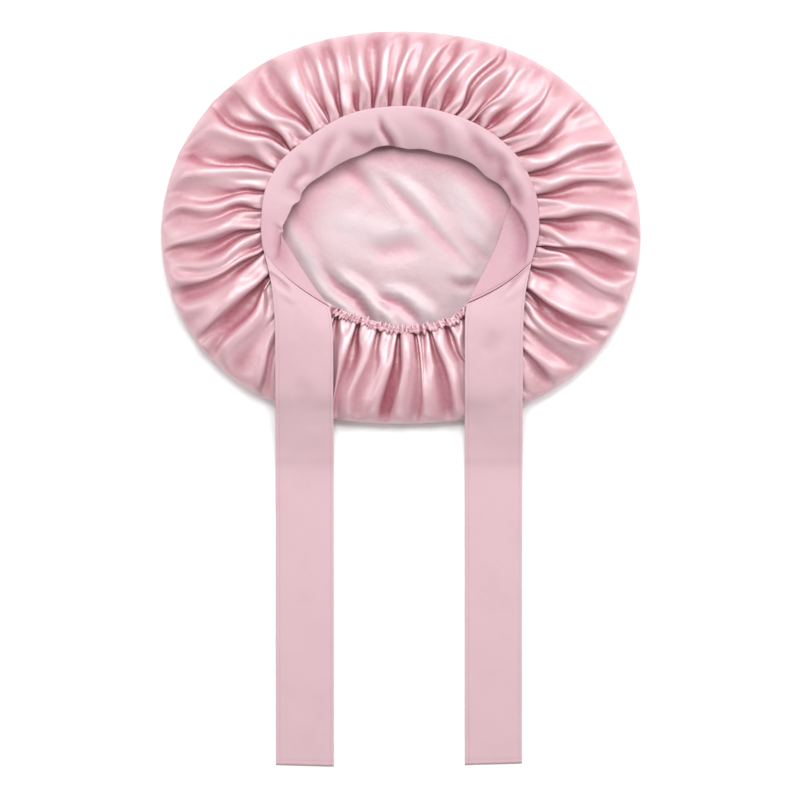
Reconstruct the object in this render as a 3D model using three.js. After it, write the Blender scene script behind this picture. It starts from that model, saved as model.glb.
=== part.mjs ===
// Satin sleep bonnet lying flat with its opening up: a gathered crown, a wide band across
// the brow, an elastic casing at the nape and two long ties sewn on at the sides.
// Millimetres, +Z up. The origin is on the table under the middle of the crown, the brow is
// towards +Y and the ties run towards -Y.
import * as THREE from "three";
import { ParametricGeometry } from "three/addons/geometries/ParametricGeometry.js";

// Driving sizes
const crownWall = 1.2; // satin of the crown, with its seam allowances
const crownRadius = 164.5; // mean radius of the crown's outline
const crownStretch = 16.2; // how much wider it is from ear to ear than from brow to nape
const browRise = 2.5; // how far the gathered edge is higher at the brow and lower at the nape
const rimTuck = 3; // what the crown's edge goes in under the band and the casing
const foldSwell = 2.4; // half of what the tallest fold stands over its valley
const lanesPerFold = 4;
const bandThick = 2.2; // folded double satin
const bandHeight = 22.6; // height of the band's sewn edge over the table
const tieThick = 1.6; // flat tube of satin, pressed
const bandTrim = 0.006; // share of its length that the band stops short of each tie
const tieTrim = 0.002; // and what a tie leaves free there
const casingHigh = 4.6;
const casingWide = 6.4;
const casingHeight = 23.6; // height of its middle, before the fall towards the nape
const casingStart = 231; // degrees round the gathered edge, from one tie to the other
const casingEnd = 306.5;
const casingPuckers = 18;

// The gathered edge, as degrees round the opening and distance from its middle
const rimSections = [
  { at: 4, out: 103.3 }, { at: 24, out: 102.4 }, { at: 43, out: 98.9 }, { at: 64, out: 92 },
  { at: 90, out: 90 }, { at: 120, out: 93.7 }, { at: 141, out: 99 }, { at: 159, out: 104.2 },
  { at: 175, out: 105.4 }, { at: 191, out: 104 }, { at: 208, out: 90.4 }, { at: 226, out: 81.2 },
  { at: 254, out: 75.6 }, { at: 287, out: 77.9 }, { at: 303, out: 79.5 }, { at: 313, out: 77.5 },
  { at: 331, out: 86 }, { at: 343, out: 98.4 }, { at: 351, out: 104.1 },
];

// Cross-section of the crown from its underside, round the outline and up over the puffed
// ring to the gathered edge. Reach is 0 at that edge and 1 at the outline, rise is the part
// of the brow's rise that it takes, and swell the part of a fold's height.
const crownSections = [
  { reach: 0.93, high: 0, rise: 0, swell: 0 },
  { reach: 0.98, high: 1.8, rise: 0, swell: 0 },
  { reach: 1, high: 7.2, rise: 0, swell: 0 },
  { reach: 0.975, high: 12, rise: 0, swell: 0.3 },
  { reach: 0.88, high: 17.6, rise: 0.1, swell: 0.7 },
  { reach: 0.72, high: 21.6, rise: 0.3, swell: 1 },
  { reach: 0.52, high: 24.4, rise: 0.5, swell: 1 },
  { reach: 0.32, high: 25.2, rise: 0.7, swell: 0.9 },
  { reach: 0.16, high: 23.6, rise: 0.9, swell: 0.6 },
  { reach: 0.06, high: 20.8, rise: 1, swell: 0.1 },
  { reach: 0, high: 20, rise: 1, swell: 0 },
];

// Folds of the ring: degrees at the gathered edge and at the outline, and how tall each is
const folds = [
  { rim: 8.5, hem: 1, tall: 0.9 }, { rim: 18, hem: 15.5, tall: 0.8 },
  { rim: 27.5, hem: 24.5, tall: 0.9 }, { rim: 37.8, hem: 38, tall: 1 },
  { rim: 46, hem: 46, tall: 0.6 }, { rim: 53.5, hem: 52, tall: 1 },
  { rim: 62, hem: 59, tall: 0.8 }, { rim: 68.5, hem: 65, tall: 0.7 },
  { rim: 75.5, hem: 70.5, tall: 0.9 }, { rim: 84.7, hem: 77, tall: 1 },
  { rim: 92.5, hem: 86, tall: 0.6 }, { rim: 99, hem: 92.5, tall: 1 },
  { rim: 108, hem: 103, tall: 0.9 }, { rim: 115, hem: 109, tall: 0.8 },
  { rim: 121, hem: 115.5, tall: 0.6 }, { rim: 127, hem: 122, tall: 1 },
  { rim: 139, hem: 136, tall: 1 }, { rim: 151, hem: 151, tall: 1 },
  { rim: 161, hem: 167, tall: 1 }, { rim: 170, hem: 176, tall: 0.5 },
  { rim: 176, hem: 184, tall: 0.9 }, { rim: 187, hem: 192, tall: 1 },
  { rim: 193, hem: 205, tall: 0.8 }, { rim: 204, hem: 217, tall: 1 },
  { rim: 214, hem: 225, tall: 0.8 }, { rim: 226, hem: 236, tall: 0.6 },
  { rim: 238, hem: 248, tall: 0.8 }, { rim: 252, hem: 256, tall: 0.9 },
  { rim: 263, hem: 264, tall: 1 }, { rim: 274, hem: 271, tall: 0.8 },
  { rim: 282, hem: 279, tall: 1 }, { rim: 289, hem: 288, tall: 0.9 },
  { rim: 300, hem: 297, tall: 0.7 }, { rim: 312, hem: 307, tall: 0.7 },
  { rim: 321, hem: 316.5, tall: 0.8 }, { rim: 331, hem: 326, tall: 0.9 },
  { rim: 339, hem: 336, tall: 1 }, { rim: 347.5, hem: 343, tall: 1 },
  { rim: 357.5, hem: 354, tall: 0.9 },
];

// Band from its left end, over the brow, to its right end: the edge sewn to the crown, the
// free edge, how far that dips below the sewn one, and how far the section bows outwards
const bandSections = [
  { x: -102, y: -19.9, freeX: -53.3, freeY: -59.6, dip: 0, bow: 3.6 },
  { x: -103.6, y: -14, freeX: -66, freeY: -43, dip: 0.8, bow: 1.8 },
  { x: -104.6, y: -5, freeX: -80, freeY: -21.5, dip: 2.4, bow: 0.6 },
  { x: -104.8, y: 3, freeX: -88.8, freeY: -6, dip: 4, bow: 0 },
  { x: -104.2, y: 12, freeX: -87.4, freeY: 2, dip: 5, bow: 0 },
  { x: -103, y: 22.5, freeX: -82, freeY: 14, dip: 6, bow: 0 },
  { x: -98.3, y: 36, freeX: -75, freeY: 23.5, dip: 8, bow: 0 },
  { x: -83.3, y: 56.3, freeX: -63.8, freeY: 36.8, dip: 10, bow: 0 },
  { x: -45.8, y: 81.8, freeX: -30, freeY: 55.5, dip: 11.5, bow: 0 },
  { x: -12, y: 90, freeX: -8.3, freeY: 60.8, dip: 12, bow: 0 },
  { x: 21.8, y: 88.8, freeX: 18, freeY: 58.2, dip: 12, bow: 0 },
  { x: 59.3, y: 75.8, freeX: 44.6, freeY: 51.6, dip: 11.5, bow: 0 },
  { x: 86.7, y: 53.6, freeX: 68.6, freeY: 36.4, dip: 10, bow: 0 },
  { x: 99.8, y: 28.5, freeX: 82.1, freeY: 20, dip: 8, bow: 0 },
  { x: 103, y: 9.8, freeX: 77.4, freeY: 6, dip: 5, bow: 0 },
  { x: 103, y: -5, freeX: 70, freeY: -16, dip: 2.4, bow: 1 },
  { x: 97.8, y: -25.5, freeX: 49, freeY: -57.4, dip: 0, bow: 3.6 },
];

// Ties from the side seam to the cut end: outer long edge, inner long edge and height of the
// middle of the cloth, with the same bow as the band along the seam they share
const leftTieSections = [
  { outerX: -102, outerY: -19.9, innerX: -53.3, innerY: -59.6, high: 22.6, bow: 3.6 },
  { outerX: -98.8, outerY: -33, innerX: -51.6, innerY: -70, high: 25.4, bow: 2 },
  { outerX: -96.2, outerY: -48, innerX: -50.8, innerY: -84, high: 27.4, bow: 0.5 },
  { outerX: -94.3, outerY: -72, innerX: -50.6, innerY: -98, high: 27.4, bow: 0 },
  { outerX: -94.1, outerY: -100, innerX: -50.6, innerY: -112, high: 26.2, bow: 0 },
  { outerX: -94, outerY: -122, innerX: -50.6, innerY: -126, high: 22.8, bow: 0 },
  { outerX: -94, outerY: -138, innerX: -50.6, innerY: -138, high: 17, bow: 0 },
  { outerX: -94, outerY: -152, innerX: -50.5, innerY: -152, high: 10.4, bow: 0 },
  { outerX: -94, outerY: -170, innerX: -50.5, innerY: -170, high: 4.8, bow: 0 },
  { outerX: -94, outerY: -196, innerX: -50.5, innerY: -196, high: 1.4, bow: 0 },
  { outerX: -93.9, outerY: -290, innerX: -50.4, innerY: -289, high: 0.8, bow: 0 },
  { outerX: -93.8, outerY: -403.5, innerX: -50.3, innerY: -402, high: 0.8, bow: 0 },
];
const rightTieSections = [
  { outerX: 97.8, outerY: -25.5, innerX: 49, innerY: -57.4, high: 22.6, bow: 3.6 },
  { outerX: 95, outerY: -38, innerX: 47.8, innerY: -68, high: 25.4, bow: 2 },
  { outerX: 92.8, outerY: -52, innerX: 47.6, innerY: -82, high: 27.4, bow: 0.5 },
  { outerX: 91.4, outerY: -74, innerX: 47.6, innerY: -97, high: 27.4, bow: 0 },
  { outerX: 91.2, outerY: -100, innerX: 47.6, innerY: -112, high: 26.2, bow: 0 },
  { outerX: 91.1, outerY: -122, innerX: 47.6, innerY: -126, high: 22.8, bow: 0 },
  { outerX: 91.1, outerY: -138, innerX: 47.6, innerY: -138, high: 17, bow: 0 },
  { outerX: 91.1, outerY: -152, innerX: 47.7, innerY: -152, high: 10.4, bow: 0 },
  { outerX: 91, outerY: -170, innerX: 47.7, innerY: -170, high: 4.8, bow: 0 },
  { outerX: 91, outerY: -196, innerX: 47.8, innerY: -196, high: 1.4, bow: 0 },
  { outerX: 90.9, outerY: -290, innerX: 47.9, innerY: -290, high: 0.8, bow: 0 },
  { outerX: 90.8, outerY: -401.6, innerX: 48, innerY: -402.8, high: 0.8, bow: 0 },
];

const { cos, sin, PI } = Math;
const { lerp, degToRad, radToDeg, smoothstep, euclideanModulo } = THREE.MathUtils;

function outlineRadius(angle) {
  const round = crownRadius + crownStretch * cos(2 * angle);
  return round - 1.1 * (sin(angle) + cos(4 * angle)) - 1.5 * sin(3 * angle);
}

const rimTurns = [-360, 0, 360].flatMap((turn) => rimSections.map(({ at, out }) => [at + turn, out]));
const rimShape = new THREE.CubicInterpolant(rimTurns.map(([at]) => at), rimTurns.map(([, out]) => out), 1);

function rimRadius(angle) {
  return rimShape.evaluate(euclideanModulo(radToDeg(angle), 360))[0];
}

// The folds lie flat where a tie presses on them
function pressedByTie(x, y) {
  const under = (ties) => smoothstep(x, ties.left - 6, ties.left) * smoothstep(-x, -ties.right - 6, -ties.right);
  const left = under({ left: -100, right: -48 });
  const right = under({ left: 45, right: 98 });
  return (left + right) * smoothstep(-y, 12, 30);
}

// Crown: one wall that follows its cross-section out and back, with its lanes along the folds
function crownPoint(lane, section, inner, target) {
  const i = Math.floor(lane) % folds.length;
  const next = (i + 1) % folds.length;
  const across = lane - Math.floor(lane);
  if (section < 0) return target.set(0, 0, inner ? crownWall : 0); // the middle of the underside
  const { reach, high, rise, swell } = crownSections[section];
  const turn = next === 0 ? 360 : 0;
  const from = lerp(folds[i].rim, folds[i].hem, reach);
  const to = lerp(folds[next].rim, folds[next].hem, reach) + turn;
  const angle = degToRad(lerp(from, to, across));
  const rim = rimRadius(angle) - rimTuck;
  const ring = outlineRadius(angle) - rim;
  let out = rim + reach * ring;
  const wave = cos(2 * PI * across) * lerp(folds[i].tall, folds[next].tall, across) * swell * foldSwell;
  let z = high + browRise * sin(angle) * rise;
  z += wave * (1 - 0.9 * pressedByTie(out * cos(angle), out * sin(angle)));
  if (inner) {
    const before = crownSections[Math.max(section - 1, 0)];
    const after = crownSections[Math.min(section + 1, crownSections.length - 1)];
    const outward = section === 0
      ? new THREE.Vector2(0, -1)
      : new THREE.Vector2(after.high - before.high, (before.reach - after.reach) * ring).normalize();
    out -= crownWall * outward.x;
    z -= crownWall * outward.y;
  }
  return target.set(out * cos(angle), out * sin(angle), z);
}

function crownGeometry() {
  const stations = crownSections.length + 1; // with the middle of the underside
  const rows = 2 * stations - 1;
  const place = (u, v, target) => {
    const row = Math.round(v * rows);
    const inner = row >= stations;
    const section = (inner ? rows - row : row) - 1;
    return crownPoint(u * folds.length, section, inner, target);
  };
  return new ParametricGeometry(place, folds.length * lanesPerFold, rows);
}

// A strip of cloth: a thin box whose length, width and thickness follow a surface
function stripGeometry({ steps, lanes, thick, surface }) {
  const strip = new THREE.BoxGeometry(1, 1, 1, steps, lanes, 1);
  const position = strip.getAttribute("position");
  const nudge = 0.002;
  for (let i = 0; i < position.count; i++) {
    const along = position.getX(i) + 0.5;
    const across = position.getY(i) + 0.5;
    const middle = surface(along, across);
    const lengthwise = surface(along + nudge, across).sub(surface(along - nudge, across));
    const crosswise = surface(along, across + nudge).sub(surface(along, across - nudge));
    const outward = lengthwise.cross(crosswise).normalize();
    middle.addScaledVector(outward, position.getZ(i) * thick);
    position.setXYZ(i, middle.x, middle.y, middle.z);
  }
  return strip;
}

// Smooth values between the rows of a table, by the names of its columns
function tableShape(table) {
  const names = Object.keys(table[0]);
  const values = table.flatMap((row) => names.map((name) => row[name]));
  const shape = new THREE.CubicInterpolant(table.map((_, i) => i), values, names.length);
  return (along) => {
    const found = shape.evaluate(along * (table.length - 1));
    return Object.fromEntries(names.map((name, i) => [name, found[i]]));
  };
}

// A bow that pushes the middle of a section outwards, away from the opening
function bowed(from, to, across, bow) {
  const point = from.clone().lerp(to, across);
  const outward = new THREE.Vector2(from.x + to.x, from.y + to.y).normalize();
  const push = bow * sin(PI * THREE.MathUtils.clamp(across, 0, 1));
  return point.add(new THREE.Vector3(outward.x * push, outward.y * push, 0));
}

function bandGeometry() {
  const shapeAt = tableShape(bandSections);
  const surface = (along, across) => {
    const { x, y, freeX, freeY, dip, bow } = shapeAt(lerp(bandTrim, 1 - bandTrim, along));
    const sewnZ = bandHeight + browRise * sin(Math.atan2(y, x));
    const freeZ = bandHeight + browRise * sin(Math.atan2(freeY, freeX)) - dip;
    const from = new THREE.Vector3(x, y, sewnZ);
    const to = new THREE.Vector3(freeX, freeY, freeZ);
    const point = bowed(from, to, across, bow);
    point.z += (freeZ - sewnZ) * (across * across - across); // leaves the seam flat, then dips
    return point;
  };
  return stripGeometry({ steps: 56, lanes: 4, thick: bandThick, surface });
}

function tieGeometry(table) {
  const shapeAt = tableShape(table);
  const surface = (along, across) => {
    const { outerX, outerY, innerX, innerY, high, bow } = shapeAt(lerp(tieTrim, 1, along));
    const z = Math.max(high, tieThick / 2);
    const outer = new THREE.Vector3(outerX, outerY, z);
    const inner = new THREE.Vector3(innerX, innerY, z);
    return bowed(outer, inner, across, bow);
  };
  return stripGeometry({ steps: 34, lanes: 4, thick: tieThick, surface });
}

// Elastic casing: a flattened tube round the nape, puckered by its elastic
function casingGeometry() {
  const tube = new THREE.CylinderGeometry(1, 1, 1, 8, casingPuckers * 3);
  const position = tube.getAttribute("position");
  for (let i = 0; i < position.count; i++) {
    const along = position.getY(i) + 0.5;
    const angle = degToRad(lerp(casingStart, casingEnd, along));
    const pucker = 0.93 + 0.07 * cos(2 * PI * casingPuckers * along);
    const out = rimRadius(angle) + position.getX(i) * pucker * casingWide / 2;
    const z = casingHeight + browRise * sin(angle) + position.getZ(i) * pucker * casingHigh / 2;
    position.setXYZ(i, out * cos(angle), out * sin(angle), z);
  }
  return tube;
}

function piece(name, geometry, color, roughness) {
  geometry.computeVertexNormals();
  const material = new THREE.MeshStandardMaterial({ color, roughness, metalness: 0 });
  const mesh = new THREE.Mesh(geometry, material);
  mesh.name = name;
  return mesh;
}

const glossySatin = 0xe0b4bf;
const mattSatin = 0xe4c1c9;

const bonnet = new THREE.Group();
bonnet.add(
  piece("crown", crownGeometry(), glossySatin, 0.35),
  piece("brow_band", bandGeometry(), mattSatin, 0.55),
  piece("nape_casing", casingGeometry(), glossySatin, 0.45),
  piece("left_tie", tieGeometry(leftTieSections), mattSatin, 0.55),
  piece("right_tie", tieGeometry(rightTieSections), mattSatin, 0.55),
);

export default bonnet;
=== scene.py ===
import math

import bpy
import numpy as np
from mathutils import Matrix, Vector


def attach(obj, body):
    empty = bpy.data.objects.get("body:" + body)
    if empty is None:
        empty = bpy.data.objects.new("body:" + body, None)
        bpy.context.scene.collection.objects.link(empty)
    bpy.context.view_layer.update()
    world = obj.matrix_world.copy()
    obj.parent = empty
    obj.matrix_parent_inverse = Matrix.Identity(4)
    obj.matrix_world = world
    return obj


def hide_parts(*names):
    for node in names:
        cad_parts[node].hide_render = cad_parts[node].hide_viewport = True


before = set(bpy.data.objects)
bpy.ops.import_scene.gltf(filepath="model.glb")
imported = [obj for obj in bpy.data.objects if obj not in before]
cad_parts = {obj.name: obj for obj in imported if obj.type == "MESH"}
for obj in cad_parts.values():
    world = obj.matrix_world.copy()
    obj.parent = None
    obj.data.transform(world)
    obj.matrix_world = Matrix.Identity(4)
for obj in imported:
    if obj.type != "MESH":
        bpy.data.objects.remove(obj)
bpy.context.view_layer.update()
mm = 0.001
print("frame loaded")


# camera, straight above the middle of the bonnet and its ties
view = {"lens": 300, "sensor": 36, "frameWidth": 600 * mm, "aboveZ": 6 * mm,
        "x": -0.75 * mm, "y": -129 * mm, "farthest": 50}


def addCamera():
    cam = bpy.data.objects.new("camera", bpy.data.cameras.new("camera"))
    bpy.context.collection.objects.link(cam)
    cam.data.lens = view["lens"]
    cam.data.sensor_width = view["sensor"]
    cam.data.clip_end = view["farthest"]
    distance = view["frameWidth"] * view["lens"] / view["sensor"]
    cam.location = (view["x"], view["y"], view["aboveZ"] + distance)
    bpy.context.scene.camera = cam


addCamera()


# small helpers for shapes
def ease(value, low, high):
    t = np.clip((value - low) / (high - low), 0, 1)
    return t * t * (3 - 2 * t)


def through(points, values, at):
    # smooth curve through values at rising points, with slopes that don't overshoot
    points, values, at = (np.asarray(v, float) for v in (points, values, at))
    step = np.diff(points)
    slope = np.diff(values) / step
    inner = np.where(slope[1:] * slope[:-1] > 0,
                     2 * slope[1:] * slope[:-1] / (slope[1:] + slope[:-1] + 1e-12), 0)
    tangent = np.concatenate(([slope[0]], inner, [slope[-1]]))
    i = np.clip(np.searchsorted(points, at, side="right") - 1, 0, len(step) - 1)
    t = (at - points[i]) / step[i]
    h = step[i]
    return (values[i] * (1 + 2 * t) * (1 - t) ** 2 + values[i + 1] * t * t * (3 - 2 * t)
            + h * tangent[i] * t * (1 - t) ** 2 + h * tangent[i + 1] * t * t * (t - 1))


def columnsOf(table):
    # one array for each column. A value left out of a row is 0.
    return {name: np.array([row.get(name, 0) for row in table], float) for name in table[0]}


def smoothRows(table, at):
    # Catmull-Rom values between the rows of a table, as one array for each column
    columns = columnsOf(table)
    rows = np.stack(list(columns.values()), -1)
    padded = np.vstack((2 * rows[0] - rows[1], rows, 2 * rows[-1] - rows[-2]))
    place = np.clip(np.asarray(at, float), 0, 1) * (len(rows) - 1)
    i = np.minimum(place.astype(int), len(rows) - 2)
    t = (place - i)[..., None]
    a, b, c, d = (padded[i + k] for k in range(4))
    found = 0.5 * (2 * b + (c - a) * t + (2 * a - 5 * b + 4 * c - d) * t ** 2
                   + (3 * b - a - 3 * c + d) * t ** 3)
    return {name: found[..., k] for k, name in enumerate(columns)}


def meshFrom(name, points, faces, smooth=True, marks=None):
    mesh = bpy.data.meshes.new(name)
    mesh.from_pydata([tuple(p) for p in points], [], faces)
    mesh.validate()
    mesh.polygons.foreach_set("use_smooth", [smooth] * len(mesh.polygons))
    for mark, values in (marks or {}).items():  # a number for each point, for the colour
        made = mesh.attributes.new(mark, "FLOAT", "POINT")
        made.data.foreach_set("value", np.asarray(values, float).ravel())
    piece = bpy.data.objects.new(name, mesh)
    bpy.context.collection.objects.link(piece)
    return piece


def gridFaces(rows, columns, closed=False, start=0):
    i = np.arange(rows - 1)[:, None]
    j = np.arange(columns if closed else columns - 1)[None, :]
    k = (j + 1) % columns
    quads = np.stack((start + i * columns + j, start + i * columns + k,
                      start + (i + 1) * columns + k, start + (i + 1) * columns + j), -1)
    return quads.reshape(-1, 4).tolist()


def bump(distance, wide):
    return np.exp(-(distance / wide) ** 2)


# form of a soft crease: the shares of its route over which it comes and goes, how narrow it is
# at its ends, and how deep and how many widths off its lip lies
crease = {"comes": (-0.08, 0.34), "goes": (0.66, 1.08), "narrow": 0.65, "lip": 0.42, "lipOff": 1.9}


def creases(x, y, table):
    # height at each point of the creases. Each is a soft ridge or dent that dies away towards
    # both ends of its route, with a low lip of the other sign along its left side.
    height = 0 * x
    for row in table:
        stops = np.array(row["route"], float)
        runs = np.diff(stops, axis=0)
        sizes = np.hypot(runs[:, 0], runs[:, 1])
        nearest, along, beside, begun = 0 * x + 1e9, 0 * x, 0 * x, 0
        for (fromX, fromY), (runX, runY), size in zip(stops, runs, sizes):
            share = np.clip(((x - fromX) * runX + (y - fromY) * runY) / size ** 2, 0, 1)
            gap = np.hypot(x - fromX - runX * share, y - fromY - runY * share)
            nearer = gap < nearest
            along = np.where(nearer, begun + share * size, along)
            beside = np.where(nearer, ((y - fromY) * runX - (x - fromX) * runY) / size, beside)
            nearest = np.minimum(nearest, gap)
            begun += size
        fade = ease(along / begun, *crease["comes"]) * (1 - ease(along / begun, *crease["goes"]))
        wide = row["wide"] * (crease["narrow"] + (1 - crease["narrow"]) * fade)
        lip = crease["lip"] * bump(nearest - crease["lipOff"] * wide, wide) * ease(beside, 0, wide)
        height = height + row["tall"] * (bump(nearest, wide) - lip) * fade
    return height


def soften(height, rounds):
    # evens a grid of heights out: half its own height and an eighth of each neighbour's
    for _ in range(rounds):
        wide = np.pad(height, 1, mode="edge")
        beside = wide[:-2, 1:-1] + wide[2:, 1:-1] + wide[1:-1, :-2] + wide[1:-1, 2:]
        height = height * 0.5 + beside * 0.125
    return height


# crown: the gathered bag
crown = {
    "radius": 164.5, "stretch": 16.2, "corners": 1.1, "lopsided": 1.5, "browRise": 2.5, "tuck": 3,
    "lowest": 0.2,
    "lanesPerFold": 24, "ringRows": 66, "closeRows": 0.35, "floorRows": 42,
    "foldHeight": 8, "usualGap": 9.5, "sink": 0.42, "wander": 2, "swell": 0.45, "lean": 0.18,
    "forkDepth": 0.8, "forkWidth": 0.62, "fineGathers": 0.9, "gatherReach": 0.09,
    "flatUnderTies": 0.88, "fineUnderTies": 0.1, "downUnderTies": 0.8,
    # painted shade: the valleys, most by the seam, the steep sides and the outer edge get the darker colour,
    # and so do the floor's dents and its strip under the band
    "baseShade": 0.05, "valleyShade": 1.35, "seamShade": 4.2, "seamReach": 0.16, "sideShade": 0.3,
    "steepest": 1.3, "edgeShade": 0.22,
    "floorRise": 2.4, "floorWave": 0.5, "floorLowest": 0.4,
    "floorShade": 0.2, "floorDentShade": 0.3, "bandShade": 1, "seed": 7,
}

# the gathered edge: degrees round the opening, and millimetres out from its middle
rimSections = [
    (4, 103.3), (24, 102.4), (43, 98.9), (64, 92), (90, 90), (120, 93.7),
    (141, 99), (159, 104.2), (175, 105.4), (191, 104), (208, 90.4), (226, 81.2),
    (254, 75.6), (287, 77.9), (303, 79.5), (313, 77.5), (331, 86), (343, 98.4),
    (351, 104.1),
]

# the puffed ring in section: reach is 0 at the gathered edge and 1 at the outline, folds is
# how much of their height the folds have there, pinch how tightly their valleys close, or
# below 0 their crests, and full how much cloth lies there for each length of ring
ringSections = [
    {"reach": 0, "high": 19.6, "rise": 1, "folds": 0.34, "pinch": 0.7, "full": 1.35},
    {"reach": 0.05, "high": 20.2, "rise": 1, "folds": 0.6, "pinch": 0.7, "full": 1.6},
    {"reach": 0.12, "high": 21.6, "rise": 0.92, "folds": 0.86, "pinch": 0.5, "full": 1.7},
    {"reach": 0.22, "high": 23, "rise": 0.8, "folds": 1, "pinch": 0.25, "full": 1.62},
    {"reach": 0.36, "high": 23.6, "rise": 0.65, "folds": 0.96, "pinch": 0.05, "full": 1.48},
    {"reach": 0.52, "high": 23.2, "rise": 0.5, "folds": 0.86, "pinch": -0.1, "full": 1.36},
    {"reach": 0.7, "high": 21.2, "rise": 0.3, "folds": 0.82, "pinch": -0.15, "full": 1.28},
    {"reach": 0.85, "high": 18, "rise": 0.1, "folds": 0.78, "pinch": -0.1, "full": 1.18},
    {"reach": 0.95, "high": 13.6, "folds": 0.52, "full": 1.09},
    {"reach": 0.99, "high": 9.8, "folds": 0.28, "full": 1.03},
    {"reach": 1, "high": 7, "folds": 0.05, "full": 1},
    {"reach": 0.992, "high": 4, "folds": 0.03, "full": 1},
    {"reach": 0.965, "high": 1.4, "full": 1},
    {"reach": 0.92, "high": 0.5, "full": 1},
]

# folds of the ring: degrees at the gathered edge, half-way and at the outline, how tall, and
# for a crest that forks by the seam half its spread in degrees, where it closes, how deep
folds = [
    {"rim": 8.6, "mid": 6.5, "hem": 1.5, "tall": 1, "fork": 2.7, "meet": 0.3, "deep": 0.9},
    {"rim": 18, "mid": 15.6, "hem": 16, "tall": 0.9, "fork": 1.4, "meet": 0.16, "deep": 0.5},
    {"rim": 27.5, "mid": 25.2, "hem": 23.5, "tall": 1},
    {"rim": 37.8, "mid": 36, "hem": 39.5, "tall": 1, "fork": 3, "meet": 0.42, "deep": 1},
    {"rim": 45.5, "mid": 43, "hem": 47.5, "tall": 0.6},
    {"rim": 53.6, "mid": 51.8, "hem": 51.3, "tall": 1, "fork": 3, "meet": 0.46, "deep": 1},
    {"rim": 61.6, "mid": 58, "hem": 58.6, "tall": 0.9},
    {"rim": 67.5, "mid": 64.8, "hem": 62, "tall": 0.8, "fork": 1.8, "meet": 0.2, "deep": 0.5},
    {"rim": 75.2, "mid": 72.5, "hem": 68.5, "tall": 1, "fork": 3, "meet": 0.22, "deep": 1},
    {"rim": 84.8, "mid": 81.4, "hem": 77, "tall": 1, "fork": 2.3, "meet": 0.18, "deep": 0.8},
    {"rim": 92.6, "mid": 89.5, "hem": 85.5, "tall": 0.7},
    {"rim": 99, "mid": 96, "hem": 91.5, "tall": 1, "fork": 3.6, "meet": 0.2, "deep": 0.8},
    {"rim": 108, "mid": 104.6, "hem": 103.5, "tall": 1, "fork": 1.3, "meet": 0.35, "deep": 0.5},
    {"rim": 114.8, "mid": 110.6, "hem": 107.5, "tall": 0.9},
    {"rim": 121.8, "mid": 118.2, "hem": 116, "tall": 0.6},
    {"rim": 127, "mid": 125.2, "hem": 122, "tall": 1, "fork": 2.9, "meet": 0.52, "deep": 0.8},
    {"rim": 138.6, "mid": 138.8, "hem": 136.5, "tall": 1, "fork": 3.2, "meet": 0.38, "deep": 1},
    {"rim": 151.2, "mid": 151.6, "hem": 153.5, "tall": 1, "fork": 2.6, "meet": 0.36, "deep": 1},
    {"rim": 161, "mid": 165, "hem": 168.5, "tall": 1, "fork": 2.3, "meet": 0.36, "deep": 0.9},
    {"rim": 169.6, "mid": 173, "hem": 176.5, "tall": 0.6},
    {"rim": 176, "mid": 179.5, "hem": 184, "tall": 1, "fork": 2, "meet": 0.3, "deep": 0.7},
    {"rim": 185.5, "mid": 190.6, "hem": 190.5, "tall": 1, "fork": 2.8, "meet": 0.94, "deep": 0.8},
    {"rim": 193.5, "mid": 201, "hem": 206, "tall": 0.9, "fork": 1.6, "meet": 0.3, "deep": 0.6},
    {"rim": 204, "mid": 213, "hem": 218, "tall": 1},
    {"rim": 214, "mid": 221, "hem": 225.5, "tall": 0.9},
    {"rim": 226, "mid": 232, "hem": 237, "tall": 0.7},
    {"rim": 238.6, "mid": 244.5, "hem": 248, "tall": 0.9, "fork": 1.5, "meet": 0.2, "deep": 0.5},
    {"rim": 252.5, "mid": 253.6, "hem": 255, "tall": 0.9, "fork": 1.5, "meet": 0.2, "deep": 0.5},
    {"rim": 263.4, "mid": 262, "hem": 259.5, "tall": 1, "fork": 3, "meet": 0.45, "deep": 0.8},
    {"rim": 274, "mid": 273.4, "hem": 269, "tall": 0.9},
    {"rim": 282.2, "mid": 280.6, "hem": 277.5, "tall": 0.8, "fork": 2.6, "meet": 0.7, "deep": 0.9},
    {"rim": 290, "mid": 289.5, "hem": 290, "tall": 1, "fork": 1.6, "meet": 0.2, "deep": 0.6},
    {"rim": 300.5, "mid": 299, "hem": 298.5, "tall": 0.8, "fork": 1.8, "meet": 0.2, "deep": 0.5},
    {"rim": 311, "mid": 309, "hem": 308, "tall": 0.7},
    {"rim": 321, "mid": 317.6, "hem": 317, "tall": 0.9},
    {"rim": 330.5, "mid": 325.6, "hem": 326.5, "tall": 1, "fork": 2.6, "meet": 0.3, "deep": 0.9},
    {"rim": 339, "mid": 335.4, "hem": 337.5, "tall": 1},
    {"rim": 347.4, "mid": 346, "hem": 342.5, "tall": 1, "fork": 2.8, "meet": 0.38, "deep": 1},
    {"rim": 357.4, "mid": 355.8, "hem": 354.5, "tall": 0.9, "fork": 2.6, "meet": 0.3, "deep": 0.9},
]

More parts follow.
